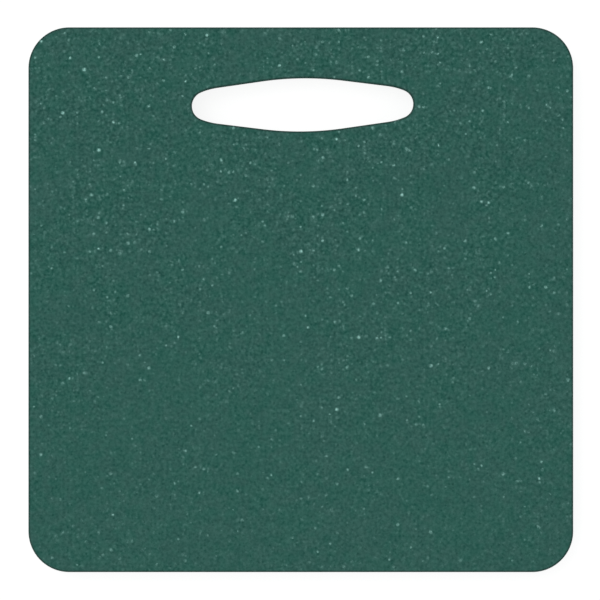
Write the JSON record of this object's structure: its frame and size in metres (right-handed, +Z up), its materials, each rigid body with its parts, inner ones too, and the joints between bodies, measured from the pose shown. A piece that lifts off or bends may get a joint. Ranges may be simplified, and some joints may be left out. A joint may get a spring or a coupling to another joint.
{
  "type": "garden kneeling pad",
  "caption": "Flat square foam kneeling pad with rounded corners and a lozenge-shaped hand slot along one edge, laminated from tough face sheets over soft and firm foam.",
  "frame": {"origin": "centre of the ground face, midway between all four sides", "axes": "+Z up, from the ground face to the kneeling face; +Y towards the edge that has the hand slot; +X to the right when the pad is seen from above with that edge at the top"},
  "size_m": [0.4, 0.4, 0.025],
  "materials": {
    "sheet_foam": "matte",
    "soft_foam": "matte",
    "firm_foam": "matte"
  },
  "bodies": {
    "base": {"ground_sheet": "sheet_foam", "firm_foam": "firm_foam", "soft_foam": "soft_foam"},
    "knee_face": {"kneeling_sheet": "sheet_foam"}
  },
  "joints": [
    {"name": "knee_press", "type": "slide", "parent": "base", "child": "knee_face", "axis": [0, 0, -1], "range_m": [0, 0.005], "stiffness_N_per_m": 80000, "deforming": ["soft_foam"]}
  ]
}
